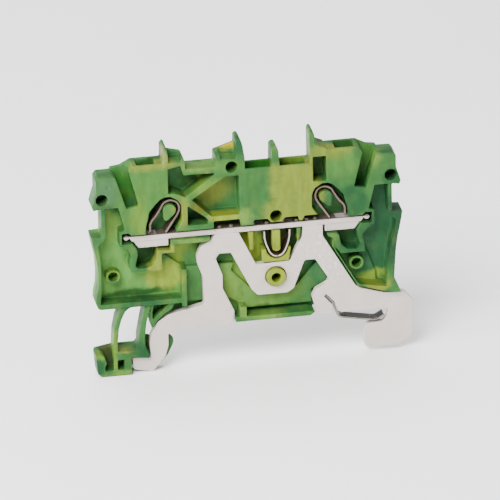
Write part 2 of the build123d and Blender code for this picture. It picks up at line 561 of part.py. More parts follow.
with BuildPart() as contact_spring:
    with BuildSketch(layer(STRIP_BACK - 0.1)):
        with BuildLine():
            ThreePointArc((3.38, 12.6), (4.65, 11.5), (5.92, 12.6))
        trace(line_width=0.22)
    extrude(amount=STRIP_WIDTH - 0.2)
save(contact_spring, "contact_spring")

for side, hand in (("left", lambda points: [(9.3 - x, z) for x, z in points]), ("right", list)):
    with BuildPart() as contact_leg:
        with BuildSketch(layer(STRIP_BACK - 0.1)):
            with BuildLine():
                FilletPolyline(*hand([(5.95, 12.71), (6.3, 13.6), (6.58, 14.7), (6.6, 15.85)]), radius=0.25)
            trace(line_width=0.22)
        extrude(amount=STRIP_WIDTH - 0.2)
    save(contact_leg, f"{side}_contact_leg")

with BuildPart() as rail_spring_root:
    with BuildSketch(layer(STRIP_BACK)):
        with BuildLine():
            Polyline((11.95, 4.2), (13.2, 2.7), (13.5, 1.75))
        trace(line_width=0.22)
    extrude(amount=STRIP_WIDTH)
save(rail_spring_root, "rail_spring_root")

with BuildPart() as rail_spring_leaf:
    with BuildSketch(layer(STRIP_BACK)):
        with BuildLine():
            FilletPolyline((13.52, 1.62), (14.1, 0.4), (19.7, -0.6), (20.9, 0.15), radius=0.6)
        trace(line_width=0.3)
    extrude(amount=STRIP_WIDTH)
save(rail_spring_leaf, "rail_spring_leaf")
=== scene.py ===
"""Looks of the earth terminal block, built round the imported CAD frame.

The housing regions of the CAD are fused into one moulding with rounded edges, the ground foot is
one stamped plate, and each spring is one bent strip. Shapes are drawn in millimetres in the row
frame (X along the block, Y from the open side to the back, Z up) and scaled to metres at the end.
"""
import json
import math

import bmesh
import bpy
from mathutils import Matrix, Vector
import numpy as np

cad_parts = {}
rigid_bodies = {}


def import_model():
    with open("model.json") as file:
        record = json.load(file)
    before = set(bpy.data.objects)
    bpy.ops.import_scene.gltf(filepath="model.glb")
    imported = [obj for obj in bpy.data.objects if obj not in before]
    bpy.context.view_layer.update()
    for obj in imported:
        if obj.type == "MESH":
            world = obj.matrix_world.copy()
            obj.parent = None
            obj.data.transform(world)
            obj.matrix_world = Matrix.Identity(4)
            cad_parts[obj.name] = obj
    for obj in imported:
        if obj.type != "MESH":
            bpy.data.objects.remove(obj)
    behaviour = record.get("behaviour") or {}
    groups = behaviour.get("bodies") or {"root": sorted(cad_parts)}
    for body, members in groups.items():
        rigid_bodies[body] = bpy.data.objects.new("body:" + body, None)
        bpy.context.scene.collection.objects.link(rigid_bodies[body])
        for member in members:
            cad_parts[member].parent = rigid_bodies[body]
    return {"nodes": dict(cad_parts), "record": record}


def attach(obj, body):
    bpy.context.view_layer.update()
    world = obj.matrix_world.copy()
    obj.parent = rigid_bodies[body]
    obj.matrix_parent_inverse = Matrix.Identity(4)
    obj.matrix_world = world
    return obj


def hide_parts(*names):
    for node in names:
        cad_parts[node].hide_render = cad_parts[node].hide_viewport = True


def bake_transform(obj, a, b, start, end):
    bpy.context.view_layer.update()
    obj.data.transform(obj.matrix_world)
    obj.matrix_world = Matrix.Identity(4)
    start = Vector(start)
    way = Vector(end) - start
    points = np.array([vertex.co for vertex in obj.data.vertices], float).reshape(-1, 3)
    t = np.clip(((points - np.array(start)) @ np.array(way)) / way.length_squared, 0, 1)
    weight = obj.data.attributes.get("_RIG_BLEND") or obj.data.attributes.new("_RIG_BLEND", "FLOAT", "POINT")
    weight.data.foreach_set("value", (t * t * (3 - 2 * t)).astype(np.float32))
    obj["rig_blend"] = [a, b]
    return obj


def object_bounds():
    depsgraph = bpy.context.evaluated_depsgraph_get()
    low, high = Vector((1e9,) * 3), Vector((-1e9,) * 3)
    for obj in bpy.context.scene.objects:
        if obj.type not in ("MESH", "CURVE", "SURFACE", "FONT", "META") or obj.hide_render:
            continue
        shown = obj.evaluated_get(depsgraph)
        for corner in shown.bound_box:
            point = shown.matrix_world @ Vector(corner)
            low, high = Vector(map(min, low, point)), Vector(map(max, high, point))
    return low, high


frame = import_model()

cad_low, cad_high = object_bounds()
MM = 0.001
scene = bpy.context.scene

# ------------------------------------------------------------------ mesh helpers, all in millimetres


def link(mesh, name):
    obj = bpy.data.objects.new(name, mesh)
    scene.collection.objects.link(obj)
    return obj


def tidy_mesh(mesh, merge=0.002, flat=None):
    """Merges doubled vertices and, if asked, dissolves the edges that lie inside flat faces."""
    bm = bmesh.new()
    bm.from_mesh(mesh)
    bmesh.ops.remove_doubles(bm, verts=bm.verts, dist=merge)
    bmesh.ops.dissolve_degenerate(bm, dist=merge * 0.5, edges=bm.edges)
    if flat:
        bmesh.ops.dissolve_limit(bm, angle_limit=flat, verts=bm.verts, edges=bm.edges)
    bmesh.ops.recalc_face_normals(bm, faces=bm.faces)
    bm.to_mesh(mesh)
    bm.free()


def cad_copy(node):
    """A copy of a CAD node's mesh, in millimetres."""
    mesh = frame["nodes"][node].data.copy()
    mesh.materials.clear()
    mesh.transform(Matrix.Scale(1000, 4))
    for name in [a.name for a in mesh.attributes if a.name == "custom_normal"]:
        mesh.attributes.remove(mesh.attributes[name])
    tidy_mesh(mesh, flat=math.radians(1.0))
    return mesh


def evaluated(obj):
    """The object's mesh with its modifiers applied; the object is removed."""
    graph = bpy.context.evaluated_depsgraph_get()
    mesh = bpy.data.meshes.new_from_object(obj.evaluated_get(graph))
    bpy.data.objects.remove(obj)
    return mesh


def fuse(meshes, cutters=()):
    """One closed mesh: the union of meshes, less the cutters."""
    result = meshes[0]
    for operation, others in (("UNION", meshes[1:]), ("DIFFERENCE", list(cutters))):
        if not others:
            continue
        base = link(result, "fuse_base")
        group = bpy.data.collections.new("fuse_group")
        scene.collection.children.link(group)
        for mesh in others:
            group.objects.link(bpy.data.objects.new("fuse_part", mesh))
        modifier = base.modifiers.new("fuse", "BOOLEAN")
        modifier.operation = operation
        modifier.solver = "EXACT"
        modifier.use_self = operation == "UNION"
        modifier.operand_type = "COLLECTION"
        modifier.collection = group
        result = evaluated(base)
        for part in list(group.objects):
            bpy.data.objects.remove(part)
        bpy.data.collections.remove(group)
        tidy_mesh(result)
    return result


def mould(mesh, voxel=0.08, rounds=6, keep=0.22):
    """Remeshes a fused moulding finely, which rounds its edges and inner corners slightly."""
    obj = link(mesh, "mould")
    remesh = obj.modifiers.new("remesh", "REMESH")
    remesh.mode = "VOXEL"
    remesh.voxel_size = voxel
    remesh.adaptivity = 0.0
    smooth = obj.modifiers.new("smooth", "SMOOTH")
    smooth.factor = 0.5
    smooth.iterations = rounds
    thin = obj.modifiers.new("thin", "DECIMATE")
    thin.ratio = keep
    return evaluated(obj)


def soften(mesh, width, segments=2, angle=28):
    """Rounds the edges, as a moulding tool's or a stamping's edges are."""
    obj = link(mesh, "soften")
    bevel = obj.modifiers.new("round", "BEVEL")
    bevel.width = width
    bevel.segments = segments
    bevel.limit_method = "ANGLE"
    bevel.angle_limit = math.radians(angle)
    bevel.use_clamp_overlap = False
    bevel.harden_normals = False
    bevel.miter_outer = "MITER_ARC"
    return evaluated(obj)


def finish_piece(mesh, name, material, nodes, body):
    """Scales the mesh to metres and places it in the model, instead of the CAD nodes.

    body is the name of the body that the piece rides on. For a piece that bends across a joint it is
    the two bodies, and the two points in metres between which the piece bends.
    """
    bm = bmesh.new()
    bm.from_mesh(mesh)
    bmesh.ops.triangulate(bm, faces=[f for f in bm.faces if len(f.verts) > 4], ngon_method="BEAUTY")
    bmesh.ops.scale(bm, vec=(MM, MM, MM), verts=bm.verts)
    bm.to_mesh(mesh)
    bm.free()
    mesh.materials.clear()
    mesh.materials.append(material)
    mesh.shade_smooth()
    obj = link(mesh, name)
    normals = obj.modifiers.new("flat_faces_stay_flat", "WEIGHTED_NORMAL")
    normals.weight = 80
    normals.keep_sharp = True
    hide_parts(*nodes)
    if isinstance(body, str):
        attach(obj, body)
    else:
        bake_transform(obj, *body)


def smooth_line(points, steps):
    """A Catmull-Rom line through the points, with so many steps from one to the next."""
    line = []
    padded = [points[0]] + points + [points[-1]]
    for a, b, c, d in zip(padded, padded[1:], padded[2:], padded[3:]):
        for k in range(steps):
            t = k / steps
            line.append([0.5 * (2 * b[i] + (c[i] - a[i]) * t
                                + (2 * a[i] - 5 * b[i] + 4 * c[i] - d[i]) * t * t
                                + (3 * b[i] - a[i] - 3 * c[i] + d[i]) * t ** 3) for i in (0, 1)])
    line.append(list(points[-1]))
    return line


def strip(points, thickness, y_front, y_back, steps=6):
    """A bent strip of spring steel: a smooth line through points, thickened and carried back."""
    line = smooth_line(points, steps)
    left = []
    right = []
    for k, (x, z) in enumerate(line):
        ahead, behind = line[min(k + 1, len(line) - 1)], line[max(k - 1, 0)]
        along = math.hypot(ahead[0] - behind[0], ahead[1] - behind[1])
        nx, nz = -(ahead[1] - behind[1]) / along, (ahead[0] - behind[0]) / along
        left.append((x + nx * thickness / 2, z + nz * thickness / 2))
        right.append((x - nx * thickness / 2, z - nz * thickness / 2))
    bm = bmesh.new()
    rows = [[bm.verts.new((x, y, z)) for x, z in side]
            for side, y in ((left, y_front), (left, y_back), (right, y_back), (right, y_front))]
    for a, b in zip(rows, rows[1:] + rows[:1]):
        for k in range(len(line) - 1):
            bm.faces.new((a[k], a[k + 1], b[k + 1], b[k]))
    for end in (0, -1):
        bm.faces.new([row[end] for row in rows])
    bmesh.ops.recalc_face_normals(bm, faces=bm.faces)
    mesh = bpy.data.meshes.new("strip")
    bm.to_mesh(mesh)
    bm.free()
    return mesh


def ball(centre, radii):
    """An ellipsoid, used to press shallow sink marks."""
    bm = bmesh.new()
    bmesh.ops.create_uvsphere(bm, u_segments=32, v_segments=16, radius=1)
    bmesh.ops.scale(bm, vec=radii, verts=bm.verts)
    bmesh.ops.translate(bm, vec=centre, verts=bm.verts)
    mesh = bpy.data.meshes.new("ball")
    bm.to_mesh(mesh)
    bm.free()
    return mesh


def post(centre, radius, z_low, z_high):
    """A short upright round post; centre is (X, Y)."""
    bm = bmesh.new()
    bmesh.ops.create_cone(bm, cap_ends=True, segments=28, radius1=radius, radius2=radius * 0.92,
                          depth=z_high - z_low)
    bmesh.ops.translate(bm, vec=(centre[0], centre[1], (z_low + z_high) / 2), verts=bm.verts)
    mesh = bpy.data.meshes.new("post")
    bm.to_mesh(mesh)
    bm.free()
    return mesh


# ------------------------------------------------------------------ shader helpers
class Shader:
    """A node material whose surface coordinates are the block's own millimetres."""

    def __init__(self, name):
        self.material = bpy.data.materials.new(name)
        self.material.use_nodes = True
        self.tree = self.material.node_tree
        self.surface = self.tree.nodes["Principled BSDF"]
        place = self.node("TexCoord").outputs["Object"]
        self.mm = self.vector("SCALE", place, Scale=1 / MM)

    def node(self, kind, **settings):
        made = self.tree.nodes.new("ShaderNode" + kind)
        for key, value in settings.items():
            setattr(made, key, value)
        return made

    def fill(self, socket, value):
        if isinstance(value, bpy.types.NodeSocket):
            self.tree.links.new(value, socket)
        else:
            socket.default_value = value

    def vector(self, operation, first, second=None, third=None, Scale=None):
        made = self.node("VectorMath", operation=operation)
        for socket, value in zip(made.inputs, (first, second, third)):
            if value is not None:
                self.fill(socket, value)
        if Scale is not None:
            self.fill(made.inputs["Scale"], Scale)
        return made.outputs["Value" if operation == "LENGTH" else "Vector"]

    def maths(self, operation, first, second):
        made = self.node("Math", operation=operation)
        self.fill(made.inputs[0], first)
        self.fill(made.inputs[1], second)
        return made.outputs[0]

    def ramp(self, value, low, high, out_low=0.0, out_high=1.0):
        made = self.node("MapRange", interpolation_type="SMOOTHSTEP")
        for socket, number in zip(made.inputs, (value, low, high, out_low, out_high)):
            self.fill(socket, number)
        return made.outputs[0]

    def noise(self, scale, detail=2.0, where=None, stretch=None, rough=0.5):
        made = self.node("TexNoise")
        place = self.mm if where is None else where
        if stretch:
            place = self.vector("MULTIPLY", place, stretch)
        self.fill(made.inputs["Vector"], place)
        made.inputs["Scale"].default_value = scale
        made.inputs["Detail"].default_value = detail
        made.inputs["Roughness"].default_value = rough
        return made

    def mix(self, factor, first, second):
        made = self.node("Mix", data_type="RGBA")
        self.fill(made.inputs[0], factor)
        for socket, colour in ((made.inputs[6], first), (made.inputs[7], second)):
            self.fill(socket, colour if isinstance(colour, bpy.types.NodeSocket) else (*colour, 1))
        return made.outputs[2]

    def axis(self, vector, letter):
        """One component of a vector."""
        made = self.node("SeparateXYZ")
        self.fill(made.inputs[0], vector)
        return made.outputs[letter]

    def normal(self, letter):
        """One component of the surface's direction, in the block's own frame."""
        return self.axis(self.node("TexCoord").outputs["Normal"], letter)

    def patch(self, where, x, z, half_x, half_z):
        """The distance from a patch's centre, across the block's face: 1 on the patch's edge."""
        scale = (1 / half_x, 0, 1 / half_z)
        shift = (-x / half_x, 0, -z / half_z)
        return self.vector("LENGTH", self.vector("MULTIPLY_ADD", where, scale, shift))

    def finish(self, colour, rough_low, rough_high, rough_scale, bump_scale, bump_depth, metal=0.0,
               stretch=None):
        """Joins the colour, an uneven gloss and a fine surface texture to the surface."""
        self.fill(self.surface.inputs["Base Color"], colour)
        gloss = self.noise(rough_scale, 3.0).outputs["Fac"]
        self.fill(self.surface.inputs["Roughness"], self.ramp(gloss, 0.3, 0.7, rough_low, rough_high))
        self.surface.inputs["Metallic"].default_value = metal
        bump = self.node("Bump")
        bump.inputs["Strength"].default_value = 0.5
        bump.inputs["Distance"].default_value = bump_depth * MM
        self.fill(bump.inputs["Height"], self.noise(bump_scale, 3.0, stretch=stretch).outputs["Fac"])
        self.fill(self.surface.inputs["Normal"], bump.outputs["Normal"])
        return self.material


# ------------------------------------------------------------------ marbled green and yellow plastic
GREEN = (0.027, 0.101, 0.024)
DEEP = (0.013, 0.061, 0.019)
TEAL = (0.011, 0.045, 0.017)
LEAF = (0.046, 0.131, 0.025)
KHAKI = (0.129, 0.172, 0.020)
STRAW = (0.172, 0.214, 0.018)
LIGHT = (0.088, 0.177, 0.030)
OLIVE = (0.065, 0.082, 0.009)
CITRON = (0.077, 0.158, 0.020)
PALE = (0.150, 0.165, 0.055)
SEA = (0.040, 0.106, 0.038)

# The web at the bottom of the pockets has colours of its own: most are painted light, brighter than the
# front's to lift the shade that falls in the pockets, and the darkest are painted shade where pockets and
# slots lie deepest in shadow
WEB_GREEN = (0.050, 0.165, 0.038)
WEB_SHADE = (0.018, 0.065, 0.014)
WEB_TEAL = (0.020, 0.090, 0.034)
WEB_LEAF = (0.090, 0.245, 0.045)
WEB_OLIVE = (0.170, 0.270, 0.030)
WEB_SLOT_SHADE = (0.016, 0.100, 0.010)
WEB_CITRON = (0.130, 0.265, 0.040)
WEB_MOSS = (0.036, 0.112, 0.018)
WEB_LIME = (0.080, 0.155, 0.018)
WEB_GOLD = (0.160, 0.205, 0.026)
WEB_YELLOW = (0.330, 0.300, 0.015)
WEB_STRAW = (0.215, 0.300, 0.030)
WEB_BROWN_SHADE = (0.030, 0.040, 0.012)

# Each patch: centre X and Z, half width and half height in mm, colour, how much of it is soft edge
PATCHES = [
    (-14.0, 23.0, 6.0, 7.5, LEAF, 0.5), (-14.5, 28.8, 4.5, 1.6, KHAKI, 0.7),
    (-16.6, 20.2, 1.6, 4.2, CITRON, 0.6), (-21.9, 24.9, 2.4, 3.0, SEA, 0.6),
    (-21.4, 21.9, 2.0, 1.3, DEEP, 0.7), (-9.9, 20.8, 1.5, 3.2, KHAKI, 0.7),
    (-7.2, 27.9, 3.6, 1.5, LIGHT, 0.6), (-2.4, 27.4, 2.8, 1.7, LEAF, 0.6),
    (-1.1, 30.9, 1.6, 1.6, DEEP, 0.7), (-6.2, 24.2, 3.2, 2.0, CITRON, 0.6),
    (-7.2, 20.6, 2.2, 1.5, OLIVE, 0.5), (-3.2, 18.9, 2.8, 1.3, STRAW, 0.5),
    (-0.3, 18.8, 1.6, 1.8, LIGHT, 0.7), (7.6, 22.6, 4.6, 9.0, KHAKI, 0.3),
    (5.3, 18.9, 3.6, 3.4, KHAKI, 0.4), (4.5, 28.0, 1.1, 1.4, GREEN, 0.6),
    (4.5, 29.8, 0.8, 0.5, LIGHT, 0.7), (9.0, 30.2, 1.1, 3.6, PALE, 0.5),
    (-13.0, 30.2, 0.6, 2.0, PALE, 0.6), (14.3, 26.2, 3.6, 2.4, LEAF, 0.6),
    (13.2, 28.6, 3.2, 1.9, KHAKI, 0.6), (15.2, 19.4, 3.9, 3.6, DEEP, 0.4),
    (19.8, 26.4, 1.4, 2.0, LIGHT, 0.8), (21.6, 27.8, 1.7, 1.2, DEEP, 0.6),
    (22.6, 22.9, 2.0, 2.1, DEEP, 0.7), (22.0, 14.2, 4.2, 7.6, TEAL, 0.4),
    (-22.9, 12.6, 1.3, 4.4, LEAF, 0.6), (-16.2, 5.7, 4.0, 1.2, DEEP, 0.6),
    (-12.9, 12.9, 2.6, 2.4, KHAKI, 0.3), (-18.6, -1.3, 1.8, 0.7, KHAKI, 0.4),
    (-8.6, 15.5, 3.6, 1.0, LIGHT, 0.7), (-12.1, 9.4, 3.2, 2.6, KHAKI, 0.6),
    (16.6, 13.2, 3.2, 3.2, DEEP, 0.5), (12.9, 14.3, 1.2, 1.4, LEAF, 0.7),
    (-20.6, 10.4, 1.6, 1.6, CITRON, 0.4), (16.9, 9.0, 1.5, 1.5, LEAF, 0.4),
    (19.9, 5.7, 2.6, 1.2, KHAKI, 0.5), (4.5, 11.6, 4.6, 6.0, STRAW, 0.4),
    (0.6, 14.6, 1.4, 2.6, STRAW, 0.4), (8.1, 15.0, 1.2, 1.9, LEAF, 0.6),
    (-0.8, 2.8, 1.4, 1.6, LIGHT, 0.6), (3.2, 2.6, 3.8, 1.6, LIGHT, 0.7),
    (7.6, 1.9, 3.2, 1.2, GREEN, 0.7),
    (-23.2, -1.9, 2.2, 0.8, CITRON, 0.5), (-20.75, -2.2, 0.7, 3.6, CITRON, 0.5),
    (-20.4, -5.6, 3.2, 0.9, LIGHT, 0.7), (-16.4, -2.0, 2.6, 2.4, DEEP, 0.6),
    (-23.2, -3.8, 1.2, 1.8, DEEP, 0.5), (-20.6, 0.2, 0.9, 2.4, CITRON, 0.7),
]
# The web's patches: swirled colour, with painted shade in the dark ones where pockets and slots lie in
# shadow, and painted light in the bright ones
WEB_PATCHES = [
    (-20.6, 12.0, 4.4, 9.0, WEB_LEAF, 0.5), (-14.0, 8.0, 6.0, 4.6, WEB_LEAF, 0.4),
    (-12.6, 9.0, 3.4, 2.8, WEB_STRAW, 0.3), (-9.8, 12.8, 2.6, 2.4, WEB_OLIVE, 0.4),
    (-15.2, 12.8, 1.9, 1.9, WEB_SHADE, 0.4), (-17.4, 6.5, 6.4, 1.0, WEB_SHADE, 0.6),
    (-8.6, 8.6, 2.0, 7.0, WEB_GREEN, 0.5), (-19.0, 24.4, 2.4, 3.6, WEB_SLOT_SHADE, 0.4),
    (18.6, 26.0, 2.4, 3.8, WEB_MOSS, 0.5), (18.2, 22.2, 1.6, 1.2, WEB_SLOT_SHADE, 0.6),
    (-5.3, 22.9, 3.9, 3.6, WEB_GOLD, 0.6), (-9.0, 25.0, 2.0, 2.2, WEB_SHADE, 0.6),
    (-7.3, 18.1, 2.2, 1.8, TEAL, 0.5), (2.0, 7.0, 9.0, 4.6, WEB_CITRON, 0.3),
    (8.0, 8.6, 3.0, 3.0, WEB_GREEN, 0.8), (-3.4, 6.6, 3.0, 3.0, WEB_OLIVE, 0.8),
    (11.2, 7.6, 2.6, 4.0, WEB_TEAL, 0.6), (3.4, 2.6, 5.0, 0.7, WEB_SHADE, 0.6),
    (-21.8, -3.0, 1.9, 2.8, WEB_BROWN_SHADE, 0.3), (0.8, 13.0, 2.6, 3.4, WEB_STRAW, 0.6),
    (4.7, 13.8, 2.0, 2.8, WEB_BROWN_SHADE, 0.4), (7.4, 14.0, 1.2, 2.6, WEB_SHADE, 0.5),
    (4.6, 24.0, 6.4, 4.0, WEB_SHADE, 0.5), (2.0, 26.8, 2.4, 2.0, WEB_SLOT_SHADE, 0.4),
    (7.5, 26.9, 2.3, 1.6, WEB_LIME, 0.5), (-2.4, 29.7, 1.5, 1.1, WEB_YELLOW, 0.6),
    (-21.2, 18.6, 2.2, 3.6, WEB_CITRON, 0.6), (-14.0, 27.6, 3.4, 1.8, WEB_SHADE, 0.4),
    (15.2, 27.8, 3.0, 2.0, WEB_SHADE, 0.4), (15.8, 13.8, 2.6, 2.6, WEB_SHADE, 0.4),
    (11.4, 24.8, 1.8, 3.2, WEB_SHADE, 0.4), (20.6, 14.0, 4.4, 9.6, WEB_TEAL, 0.3),
    (19.9, 6.2, 2.8, 1.4, WEB_OLIVE, 0.6), (-6.8, 27.9, 3.2, 1.0, WEB_LEAF, 0.4),
]
# The closed back has only a few broad patches
BACK_PATCHES = [
    (-15.0, 19.0, 7.0, 9.0, LEAF, 0.6), (7.6, 22.0, 4.8, 9.0, KHAKI, 0.4),
    (5.0, 14.0, 3.6, 5.0, STRAW, 0.5), (-12.5, 10.0, 4.0, 3.4, KHAKI, 0.5),
    (17.5, 17.0, 5.0, 8.0, DEEP, 0.5), (22.0, 9.0, 3.0, 6.0, TEAL, 0.5),
    (-20.0, 7.0, 4.0, 3.0, LIGHT, 0.7), (-2.0, 27.0, 4.0, 2.4, CITRON, 0.7),
    (14.0, 7.0, 3.6, 2.4, CITRON, 0.6), (-21.0, -2.0, 2.6, 2.0, KHAKI, 0.6),
]

# Depths in mm over which the front's colours give way to the web's, and the web's to the back's
FRONT_TO_WEB = (1.4, 2.7)
WEB_TO_BACK = (3.05, 3.28)


def lay_patches(shader, where, colour, patches):
    """The colour with each patch laid over it in turn."""
    for x, z, half_x, half_z, patch, soft in patches:
        distance = shader.patch(where, x, z, half_x, half_z)
        inside = shader.ramp(distance, 1.0 - soft, 1.0 + soft * 0.25, 1.0, 0.0)
        colour = shader.mix(inside, colour, patch)
    return colour


def plastic():
    """Two colours of polyamide that ran together: soft swirled patches, in the block's own frame, with
    painted light and shade on the web in the pockets and painted shade on faces that look upwards.
    """
    shader = Shader("marbled_plastic")
    broad = shader.vector("SUBTRACT", shader.noise(0.22, 1.5).outputs["Color"], (0.5, 0.5, 0.5))
    fine = shader.vector("SUBTRACT", shader.noise(1.1, 2.0).outputs["Color"], (0.5, 0.5, 0.5))
    swirled = shader.vector("ADD", shader.vector("SCALE", broad, Scale=2.6), shader.mm)
    swirled = shader.vector("ADD", shader.vector("SCALE", fine, Scale=1.1), swirled)
    base = shader.mix(shader.noise(0.35, 3.0).outputs["Fac"], DEEP, LEAF)
    front = lay_patches(shader, swirled, shader.mix(0.5, base, GREEN), PATCHES)
    # Deeper in, the web's colours take over: painted light and painted shade for the pockets
    web_base = shader.mix(shader.noise(0.5, 3.0).outputs["Fac"], WEB_TEAL, WEB_GREEN)
    web = lay_patches(shader, swirled, web_base, WEB_PATCHES)
    depth = shader.axis(shader.mm, "Y")
    colour = shader.mix(shader.ramp(depth, *FRONT_TO_WEB), front, web)
    back = lay_patches(shader, swirled, shader.mix(0.5, base, GREEN), BACK_PATCHES)
    colour = shader.mix(shader.ramp(depth, *WEB_TO_BACK), colour, back)
    yellower = shader.ramp(shader.noise(0.42, 3.0).outputs["Fac"], 0.5, 0.72, 0.0, 0.16)
    colour = shader.mix(yellower, colour, KHAKI)
    greener = shader.ramp(shader.noise(0.65, 4.0).outputs["Fac"], 0.52, 0.68, 0.0, 0.22)
    colour = shader.mix(greener, colour, DEEP)
    streaks = shader.noise(0.9, 3.0, stretch=(1.0, 1.0, 0.35)).outputs["Fac"]
    colour = shader.vector("SCALE", colour, Scale=shader.ramp(streaks, 0.25, 0.75, 0.86, 1.14))
    speckle = shader.noise(7.0, 2.0).outputs["Fac"]
    colour = shader.vector("SCALE", colour, Scale=shader.ramp(speckle, 0.3, 0.7, 0.97, 1.03))
    # Painted shade: faces that look upwards are darkened, standing in for the darker ceiling they reflect
    painted_shade_on_tops = shader.ramp(shader.normal("Z"), 0.45, 0.9, 1.0, 0.68)
    colour = shader.vector("SCALE", colour, Scale=painted_shade_on_tops)
    shader.surface.inputs["Specular IOR Level"].default_value = 0.1
    return shader.finish(colour, 0.38, 0.54, 0.8, 9.0, 0.012)


# ------------------------------------------------------------------ metals
# Colour of painted shade and dark reflection for metal lying under the housing's ribs
UNDER_RIB_SHADE = (0.10, 0.075, 0.06)
BRIGHT_RUB = (0.95, 0.94, 0.92)
DARK_RUB = (0.30, 0.28, 0.25)
UNDER_RIB_SHADE_FADE = 0.07


def rub(shader, colour, region, amount, mark):
    """Marks of one colour where the surface is rubbed."""
    return shader.mix(shader.maths("MULTIPLY", region, amount), colour, mark)


def metal(name, light, shade, metallic, roughness, grain, dark_above=None, faces=None, tops=None,
          rubbed=None):
    """Plated sheet: rolled grain along one direction, cloudy patches and a few small dark specks.

    Where they are given, the metal above the height dark_above is darkened as painted shade and dark
    reflection, faces puts painted shade on all but the surfaces that look straight at the open side,
    tops puts painted shade and dark reflection on what looks upwards, and rubbed is the centre X and Z
    and the half width and half height of a rubbed patch.
    """
    shader = Shader(name)
    lines = shader.noise(3.0, 4.0, stretch=grain, rough=0.65).outputs["Fac"]
    clouds = shader.noise(0.35, 3.0).outputs["Fac"]
    grain_tone = shader.ramp(lines, 0.3, 0.7, 0.0, 0.45)
    cloud_tone = shader.ramp(clouds, 0.3, 0.7, 0.0, 0.55)
    colour = shader.mix(shader.maths("ADD", grain_tone, cloud_tone), light, shade)
    specks = shader.ramp(shader.noise(2.6, 1.0).outputs["Fac"], 0.72, 0.78)
    colour = shader.mix(specks, colour, tuple(0.6 * c for c in shade))
    if rubbed:
        region = shader.ramp(shader.patch(shader.mm, *rubbed), 0.5, 1.1, 1.0, 0.0)
        scores = shader.noise(1.5, 4.0, stretch=(1.4, 1.0, 1.0), rough=0.7).outputs["Fac"]
        colour = rub(shader, colour, region, shader.ramp(scores, 0.58, 0.64, 0.0, 0.6), BRIGHT_RUB)
        colour = rub(shader, colour, region, shader.ramp(scores, 0.37, 0.42, 0.35, 0.0), DARK_RUB)
    if faces:
        # Painted shade: every surface but those looking straight at the open side takes the darker faces
        # colour
        colour = shader.mix(shader.ramp(shader.normal("Y"), -0.985, -0.88), colour, faces)
    if tops:
        # Painted shade and dark reflection on the surfaces that look upwards
        colour = shader.mix(shader.ramp(shader.normal("Z"), 0.5, 0.9), colour, tops)
    if dark_above:
        # Painted shade and dark reflection: the metal above this height lies under the housing's ribs and is
        # darkened
        height = shader.axis(shader.mm, "Z")
        under_rib_shade = shader.ramp(height, dark_above - UNDER_RIB_SHADE_FADE, dark_above)
        colour = shader.mix(under_rib_shade, colour, UNDER_RIB_SHADE)
    return shader.finish(colour, *roughness, 1.3, 5.0, 0.008, metallic, grain)


PLASTIC = plastic()
PLATE = metal("plated_foot", (0.54, 0.475, 0.43), (0.48, 0.42, 0.375), 0.15, (0.40, 0.55),
              (0.15, 1.0, 3.0), rubbed=(11.0, 9.5, 4.5, 7.0))
# The bar is darkened above its top edge and on its top faces: painted shade and dark reflection from the
# ribs over it
BAR = metal("tinned_bar", (0.54, 0.48, 0.44), (0.42, 0.37, 0.335), 0.3, (0.28, 0.42),
            (0.1, 3.0, 3.0), dark_above=16.88, tops=(0.13, 0.115, 0.105))
# The springs' sides and rounded edges get painted shade from their faces colours
SPRING = metal("spring_steel", (0.165, 0.110, 0.082), (0.10, 0.066, 0.048), 0.2, (0.30, 0.42),
               (0.6, 4.0, 0.6), faces=(0.035, 0.022, 0.017))
SMALL_SPRING = metal("small_spring", (0.55, 0.49, 0.42), (0.40, 0.34, 0.28), 0.3, (0.28, 0.40),
                     (0.6, 4.0, 0.6), faces=(0.06, 0.04, 0.025))
LEAF_SPRING = metal("leaf_spring", (0.30, 0.28, 0.26), (0.10, 0.09, 0.08), 0.7, (0.22, 0.34),
                    (0.5, 2.0, 0.5), faces=(0.05, 0.046, 0.042))

# ------------------------------------------------------------------ housing and release foot
record = frame["record"]
slots = {row["node"]: row["material_slot"] for row in record["subparts"]}
bodies = record["behaviour"]["bodies"]
# The back wall comes first, because the others are joined to it
housing_nodes = [n for n in bodies["housing"] if slots[n] == "housing_plastic"]
housing_nodes.remove("back_wall")
housing_nodes.insert(0, "back_wall")
# A thumb-shaped sink mark above the centre bore and a small one on the left ear
SINKS = [ball((4.3, -0.03, 20.8), (0.9, 0.24, 0.75)), ball((-21.2, -0.25, 25.6), (0.5, 0.36, 0.5))]
housing_mesh = mould(fuse([cad_copy(n) for n in housing_nodes], SINKS))
finish_piece(housing_mesh, "housing", PLASTIC, housing_nodes, "housing")

# The latch arms follow the housing at the first of these points and the foot at the second
ARM_BEND = ((-0.018, 0, 0.0055), (-0.018, 0, 0.0001))
foot_nodes = ["release_foot", "foot_web", "rail_finger", "outer_latch_arm", "inner_latch_arm",
              "buffer_loop"]
foot_mesh = mould(fuse([cad_copy(n) for n in foot_nodes]))
finish_piece(foot_mesh, "release_foot_moulding", PLASTIC, foot_nodes,
             ("housing", "release_foot", *ARM_BEND))

# ------------------------------------------------------------------ ground foot, current bar and collars
SHEET_EDGE = 0.06
BAR_EDGE = 0.05
LEG_BEND = ((-0.0055, 0, 0.011), (-0.0125, 0, 0.0005))
plate_nodes = ["ground_foot_plate", "foot_spring_leg", "rail_toe", "rail_hook"]
plate_mesh = soften(fuse([cad_copy(n) for n in plate_nodes]), SHEET_EDGE)
finish_piece(plate_mesh, "ground_foot", PLATE, plate_nodes,
             ("housing", "release_foot", *LEG_BEND))

